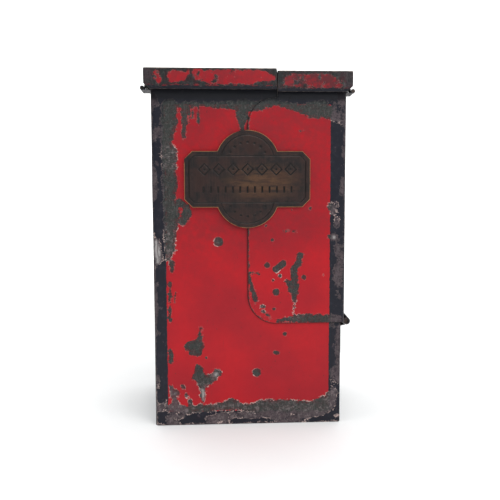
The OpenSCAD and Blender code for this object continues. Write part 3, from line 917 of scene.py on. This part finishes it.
# Red that is left on the front of the lids' skirts, as (x, height below the top, radius)
LEFT_RED = [
    [(-55, 3.6, 1.6), (-54, 7.5, 2.2)], [(-45.5, 5.5, 3.4), (-40, 5.2, 3), (-37, 4.6, 1.8)],
    [(-30, 4.2, 3.2), (-20, 5.6, 4), (-4, 5.6, 4.4), (6, 5, 3.6), (12, 5.2, 3), (15.5, 6, 1.6)],
]
RIGHT_RED = [
    [(26, 6.4, 3.6), (36, 6.2, 4.4), (50, 6.4, 4.6), (57, 6.8, 3)],
]
SKIRT_BLACK = 2.2  # height of the black strip along the skirts' lower edge


def skirt(side, materials):
    """Rim strip of a lid leaf, open at the seam."""
    low, high = corners(side + "_lid_skirt")
    top = corners(side + "_lid_top")[1][2]
    if side == "left":
        path = [(high[0], low[1]), (low[0], low[1]), (low[0], high[1]), (high[0], high[1])]
        out_x, inward, red_lines, dull, flaking = low[0], 1, LEFT_RED, 0.42, 0.36
    else:
        path = [(low[0], high[1]), (high[0], high[1]), (high[0], low[1]), (low[0], low[1])]
        out_x, inward, red_lines, dull, flaking = high[0], -1, RIGHT_RED, 0.85, 0.24
    fold = Fold(path, LID_BEND)
    us = fold.columns([0.6, 1.1, 0.6])
    vs = rows(low[2], high[2], 0.5)
    hinge = side + ("_lid_hinge_body_leaf" if side == "left" else "_lid_hinge_chute_leaf")
    side_foot = corners(hinge)[0][2] + LID_KNUCKLE + SEAT

    def inside(u, v):
        x = fold.at(u)[0]
        reach = (x - out_x) * inward - LID_SHEET
        slope = (v - low[2]) - (side_foot - low[2]) * (1 - reach / SKIRT_CUT)
        foot = np.where(reach < 0, v - side_foot, np.where(reach < SKIRT_CUT, slope * 0.6, v - low[2]))
        return np.minimum(np.minimum(u, fold.length - u), np.minimum(foot, high[2] - v))

    def place(u, v, depth):
        x, y, nx, ny = fold.at(u)
        p = np.stack([x, y, v], -1)
        flare = ramp(high[2] - v, 2, high[2] - low[2])
        off = depth - (0.22 * noise(p, 24, 61) + 0.08 * noise(p, 6, 62)) * flare
        droop = 0.18 * noise(p * (1, 1, 0), 18, 63) * flare
        return np.stack([x - nx * off, y - ny * off, v + droop], -1)

    def fields(u, v, points):
        x = fold.at(u)[0]
        below = top - v
        front = points[:, 1] < low[1] + 2
        flakes = (rough_noise(points, 5, 66, 4) - flaking) * 5
        hand = strokes(x, below, red_lines) + 2.0 * rough_noise(points, 3.2, 64)
        red = np.where(front, np.minimum(hand, -flakes), -blotches(points, 11, 0.42, 65))
        black = SKIRT_BLACK - (v - low[2]) + 0.9 * rough_noise(points, 4, 67)
        bare = np.minimum(-red, -black)
        bare = np.maximum(bare, edge_wear(high[2] - v, points, 0.9, 68))
        same = np.ones(len(u))
        rust = np.where(np.abs(x - out_x) < 6, 0.7, 0.25)
        soot = 0.5 - 0.44 * ramp(red, -0.8, 0.4)
        return {
            "bare": bare, "black": black, "pale": 0.12 * same, "rust": rust, "dull": dull * same,
            "soot": soot,
        }

    strip = cut_sheet(side + "_skirt_sheet", us, vs, inside, place, LID_SHEET, fields)
    add_materials(strip, materials)
    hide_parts(side + "_lid_skirt")
    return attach(strip, side + "_lid")


def lid_top(side, materials):
    """Flat top panel of a lid leaf, slightly dished and worn round its edge."""
    low, high = corners(side + "_lid_top")
    seam_high = side == "left"
    half_y = (high[1] - low[1]) / 2

    def inside(u, v):
        x = u if seam_high else low[0] + high[0] - u
        tongue = inside_tongue(x, v, low[0], -half_y, half_y, LID_BEND)
        return np.minimum(tongue, high[0] - x)

    def place(u, v, depth):
        p = np.stack([u, v, 0 * u], -1)
        rim = ramp(inside(u, v), 0, 16)
        dish = (0.16 + 0.14 * noise(p, 25, 71)) * rim
        return np.stack([u, v, high[2] - depth - dish + 0 * u], -1)

    def fields(u, v, points):
        distance = np.maximum(inside(u, v), 0)
        bare = np.maximum(edge_wear(distance, points, 4.5, 72), blotches(points, 16, 0.3, 73))
        same = np.ones(len(u))
        return {
            "bare": bare, "black": 6.5 - distance + noise(points, 9, 74), "pale": 0.25 * same,
            "rust": 0.5 + 0.3 * noise(points, 25, 75), "dull": 0.45 * same, "soot": 0.12 * same,
        }

    us, vs = rows(low[0], high[0], 0.9), rows(low[1], high[1], 0.9)
    panel = cut_sheet(side + "_top_sheet", us, vs, inside, place, LID_SHEET, fields)
    add_materials(panel, materials)
    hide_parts(side + "_lid_top")
    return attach(panel, side + "_lid")


# -------------------------------- nameplate

PLATE_STRAIGHT = 35.0  # height of the plate between its lobes
PLATE_CUT = 5.0
LOBE_RADIUS = 20.0
BORDER_INSET = 3.0
LINE = 0.26  # half the width of an engraved line
BOLD = 0.38  # the same for the ornament
ENGRAVING = 0.22  # depth of the engraved lines
RULE_INSET = 2.9  # from the plate's straight edges to the two rules
LOZENGES = (9.0, 6.2, 2.5)  # spacing, height above the middle, half width
BARS = (4.6, -6.4, 0.5, 2.1)  # spacing, height above the middle, half width, half height
RING_RADIUS = 12.6  # of the dots in the lobes
DOT = 0.75  # their radius
PIP = 0.65  # radius of the lozenges' dots
PLATE_GRID = 0.42


def ornament_row(u, v):
    """Depth inside the row of dotted lozenges or the row of short bars."""
    step, height, half = LOZENGES
    spaced = u - step * np.clip(np.round(u / step), -3, 3)
    upper = v - height
    lozenge = BOLD - np.abs(half - (np.abs(spaced) + np.abs(upper)) * math.sqrt(0.5))
    pip = PIP - np.hypot(spaced, upper)
    step, height, half, tall = BARS
    close = u - step * np.clip(np.round(u / step), -6, 6)
    bars = np.minimum(half - np.abs(close), tall - np.abs(v - height))
    return np.max([lozenge, pip, bars], 0)


def lobe_dots(u, v, lobe_z):
    """Depth inside the dots that follow the lobes' outer edges."""
    ring = np.radians(np.arange(30, 151, 20))
    places = [(RING_RADIUS * math.cos(a), lobe_z + RING_RADIUS * math.sin(a)) for a in ring]
    return np.max([DOT - np.hypot(u - a, np.abs(v) - b) for a, b in places], 0)


def nameplate(materials):
    """Brass plate engraved with a border, two rules, lozenges, bars and dots."""
    middle = (PLATE_LOW + PLATE_HIGH) / 2
    half_w, half_h = (PLATE_HIGH[0] - PLATE_LOW[0]) / 2, PLATE_STRAIGHT / 2
    lobe_z = (PLATE_HIGH[2] - PLATE_LOW[2]) / 2 - LOBE_RADIUS
    thickness = PLATE_HIGH[1] - PLATE_LOW[1]

    def inside(u, v):
        bar = inside_box(u, v, -half_w, half_w, -half_h, half_h)
        cut = (half_w + half_h - PLATE_CUT - np.abs(u) - np.abs(v)) * math.sqrt(0.5)
        lobe = LOBE_RADIUS - np.hypot(u, np.abs(v) - lobe_z)
        return np.maximum(np.minimum(bar, cut), lobe)

    def groove(u, v):
        border = LINE - np.abs(inside(u, v) - BORDER_INSET)
        rule = np.minimum(LINE - np.abs(np.abs(v) - half_h + RULE_INSET), half_w - 6 - np.abs(u))
        return np.max([border, rule, ornament_row(u, v), lobe_dots(u, v, lobe_z)], 0)

    def place(u, v, depth):
        carve = ENGRAVING * ramp(groove(u, v), -0.1, 0.12) * (1 if depth == 0 else 0)
        y = PLATE_LOW[1] + depth + carve
        return np.stack([middle[0] + u, y + 0 * u, middle[2] + v], -1)

    def fields(u, v, points):
        gold = 1 - ramp(np.hypot((u - 9) / 32, (v + 2) / 15), 0.2, 1.0)
        return {"groove": groove(u, v), "edge": inside(u, v), "gold": gold}

    us = rows(-half_w, half_w, PLATE_GRID)
    vs = rows(PLATE_LOW[2] - middle[2], PLATE_HIGH[2] - middle[2], PLATE_GRID)
    plate = cut_sheet("nameplate_engraved", us, vs, inside, place, thickness, fields)
    add_materials(plate, materials)
    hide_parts("nameplate")
    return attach(plate, "bucket")


# -------------------------------- CAD nodes that stay


BEVEL, SMALL_BEVEL = 0.1, 0.06


def finish_cad(node, material, bevel=BEVEL):
    """Gives a CAD node its material and softens its edges."""
    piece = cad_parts[node]
    piece.data.materials.clear()
    piece.data.materials.append(material)
    if bevel:
        soften = piece.modifiers.new("soften", "BEVEL")
        soften.width = bevel * MM
        soften.segments = 2
        soften.limit_method = "ANGLE"
        soften.angle_limit = math.radians(SHARP_ANGLE)


# -------------------------------- stage, light and camera


def build_stage():
    """Pale table that rises behind the object in one soft curve."""
    width, near, far, height, bend = 3.0, -1.2, 1.5, 1.6, 0.35
    profile = [(near, 0.0), (far - bend, 0.0)]
    for i in range(1, 13):
        a = math.radians(90 * i / 12)
        profile.append((far - bend + bend * math.sin(a), bend - bend * math.cos(a)))
    profile.append((far, height))
    points = [(x, y, z) for y, z in profile for x in (-width, width)]
    faces = [(2 * i, 2 * i + 1, 2 * i + 3, 2 * i + 2) for i in range(len(profile) - 1)]
    mesh = bpy.data.meshes.new("stage")
    mesh.from_pydata(points, [], faces)
    mesh.polygons.foreach_set("use_smooth", [True] * len(faces))
    stage = bpy.data.objects.new("stage", mesh)
    bpy.context.scene.collection.objects.link(stage)
    s = Shader("stage")
    tone = s.mix(s.ramp(s.noise(60.0, 4.0), 0.3, 0.7), colour(240, 240, 239), colour(242, 242, 241))
    mesh.materials.append(s.finish(Base_Color=tone, Roughness=0.85))
    stage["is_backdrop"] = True


def area_light(name, place, target, size, power):
    """Rectangular lamp at place, in metres, that shines on target with power in watts."""
    data = bpy.data.lights.new(name, "AREA")
    data.shape = "RECTANGLE"
    data.size, data.size_y = size
    data.energy = power
    lamp = bpy.data.objects.new(name, data)
    lamp.location = place
    lamp.rotation_euler = (Vector(target) - Vector(place)).to_track_quat("-Z", "Y").to_euler()
    bpy.context.scene.collection.objects.link(lamp)


def build_light():
    scene = bpy.context.scene
    scene.view_settings.view_transform = "Standard"
    world = bpy.data.worlds.new("soft_sky")
    scene.world = world
    world.use_nodes = True
    world.node_tree.nodes["Background"].inputs["Color"].default_value = (0.93, 0.96, 1.0, 1)
    world.node_tree.nodes["Background"].inputs["Strength"].default_value = 0.42
    centre = (0, 0, 0.11)
    area_light("window", (0.35, -0.9, 1.05), centre, (1.3, 0.9), 11.5)
    area_light("ceiling", (0.0, 0.2, 1.5), (0, 0, 0), (1.8, 1.4), 17.0)
    area_light("back", (0.0, 1.0, 0.9), (0, 1.45, 0.4), (2.2, 0.8), 14.0)


CAMERA_PLACE = (-16.4, -407.5, 144.1)
CAMERA_PITCH, CAMERA_YAW, CAMERA_ROLL = 4.77, 2.81, -0.19  # down, to the right, degrees
CAMERA_LENS = 41.47


def build_camera():
    data = bpy.data.cameras.new("camera")
    data.sensor_width = 36
    data.lens = CAMERA_LENS
    data.clip_start = 0.01
    camera = bpy.data.objects.new("camera", data)
    pitch, yaw, roll = (math.radians(a) for a in (CAMERA_PITCH, CAMERA_YAW, CAMERA_ROLL))
    turn = Matrix.Rotation(-yaw, 4, "Z") @ Matrix.Rotation(math.pi / 2 - pitch, 4, "X")
    camera.matrix_world = Matrix.Translation(Vector(CAMERA_PLACE) * MM) @ turn @ Matrix.Rotation(
        roll, 4, "Z"
    )
    bpy.context.scene.collection.objects.link(camera)
    bpy.context.scene.camera = camera


# -------------------------------- the whole model


def build():
    paint, tin, edge = enamel(), tinplate(), raw_edge()
    plated = brass()
    leaf = hinge_metal("hinge_leaf", colour(28, 28, 36), colour(66, 58, 58), 0.25)
    rod = hinge_metal("hinge_rod", colour(30, 26, 26), colour(74, 62, 56), 0.4)
    sheet_materials = [paint, tin, edge]
    front_left_wrap(sheet_materials)
    rear_right_wrap(sheet_materials)
    throat_hem("front_hem", "front_left_wrap", WRAP_LOW[1] + SHEET, 1, sheet_materials)
    throat_hem("rear_hem", "rear_right_wrap", REAR_HIGH[1] - SHEET, -1, sheet_materials)
    chute_shell(sheet_materials)
    for side in ("left", "right"):
        skirt(side, sheet_materials)
        lid_top(side, sheet_materials)
    nameplate([plated, plated, plated])
    for node in ("chute_hinge_lower_leaf", "chute_hinge_upper_leaf"):
        finish_cad(node, leaf)
    for node in ("left_lid_hinge_body_leaf", "right_lid_hinge_chute_leaf"):
        finish_cad(node, leaf, SMALL_BEVEL)
    for node in ("left_lid_hinge_leaf", "right_lid_hinge_leaf"):
        finish_cad(node, leaf, SMALL_BEVEL)
    for node in ("chute_hinge_pin", "left_lid_hinge_pin", "right_lid_hinge_pin"):
        finish_cad(node, rod)
    for node in ("chute_hinge_lower_rivets", "chute_hinge_upper_rivets"):
        finish_cad(node, rod, 0)
    finish_cad("nameplate_studs", plated, 0)
    finish_cad("mouth_wire", tin, 0)
    finish_cad("base_tray", tin)


build()
build_stage()
build_light()
build_camera()

both = {"cad": cad_bounds, "visual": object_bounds()}
{name: [list(low), list(high)] for name, (low, high) in both.items()}
